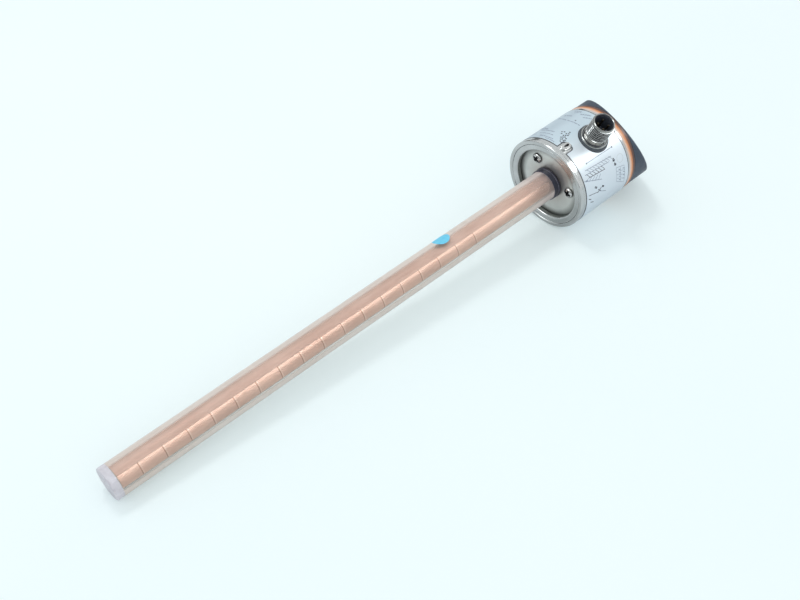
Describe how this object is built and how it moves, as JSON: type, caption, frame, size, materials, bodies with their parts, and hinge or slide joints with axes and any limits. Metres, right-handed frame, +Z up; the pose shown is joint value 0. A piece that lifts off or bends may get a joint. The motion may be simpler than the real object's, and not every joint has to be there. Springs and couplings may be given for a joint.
{
  "type": "liquid level sensor",
  "caption": "Electronic level sensor: round steel head with a slanted display cover, a side plug connector and a long see-through rod probe with segmented copper foil.",
  "frame": {"origin": "centre of the bottom of the box round the lying sensor, on the surface it lies on", "axes": "+X along the surface from the head towards the probe's tip, +Z up, +Y towards the side that the plug connector leans to"},
  "size_m": [0.3364, 0.0504, 0.0646],
  "materials": {
    "can_steel": "satin",
    "plate_steel": "satin, matt rolled",
    "lug_steel": "satin",
    "clear_plastic": "milky, see-through",
    "core_plastic": "matt",
    "copper_foil": "dull copper",
    "shield_copper": "dull copper",
    "collar_rubber": "matt",
    "flange_rubber": "matt",
    "carrier_plastic": "moulded",
    "main_board": "solder mask",
    "potting_resin": "cast resin",
    "connector_nickel": "nickel plated",
    "nut_nickel": "nickel plated",
    "connector_rubber": "matt",
    "insert_plastic": "moulded",
    "orange_plastic": "moulded",
    "cover_plastic": "moulded",
    "window_plastic": "smoked, polished",
    "display_board": "solder mask",
    "module_plastic": "moulded",
    "pin_gold": "gold plated",
    "board_screw_steel": "zinc plated",
    "plate_screw_steel": "polished",
    "switch_plastic": "moulded",
    "button_plastic": "moulded"
  },
  "bodies": {
    "head": {"accent_ring": "orange_plastic", "base_plate": "plate_steel", "board_carrier": "carrier_plastic", "board_screw_1": "board_screw_steel", "board_screw_2": "board_screw_steel", "board_screw_3": "board_screw_steel", "board_screw_4": "board_screw_steel", "connector_body": "connector_nickel", "connector_gasket": "connector_rubber", "connector_insert": "insert_plastic", "connector_nut": "nut_nickel", "contact_pin_1": "pin_gold", "contact_pin_2": "pin_gold", "contact_pin_3": "pin_gold", "contact_pin_4": "pin_gold", "cover": "cover_plastic", "display_board": "display_board", "display_module": "module_plastic", "display_window": "window_plastic", "electronics_module": "potting_resin", "flange_gasket": "flange_rubber", "housing_can": "can_steel", "main_board": "main_board", "plate_screw_1": "plate_screw_steel", "plate_screw_2": "plate_screw_steel", "plate_screw_3": "plate_screw_steel", "probe_collar": "collar_rubber", "probe_core": "core_plastic", "probe_tube": "clear_plastic", "rim_lug": "lug_steel", "segment_foil": "copper_foil", "shield_foil": "shield_copper", "tact_switch_1": "switch_plastic", "tact_switch_2": "switch_plastic"},
    "mode_button": {"mode_button": "button_plastic"},
    "set_button": {"set_button": "button_plastic"}
  },
  "joints": [
    {"name": "mode_button_press", "type": "slide", "parent": "head", "child": "mode_button", "axis": [0.8256, -0.2089, -0.5241], "range_m": [0, 0.0006], "stiffness_N_per_m": 500},
    {"name": "set_button_press", "type": "slide", "parent": "head", "child": "set_button", "axis": [0.8256, -0.2089, -0.5241], "range_m": [0, 0.0006], "stiffness_N_per_m": 500}
  ]
}
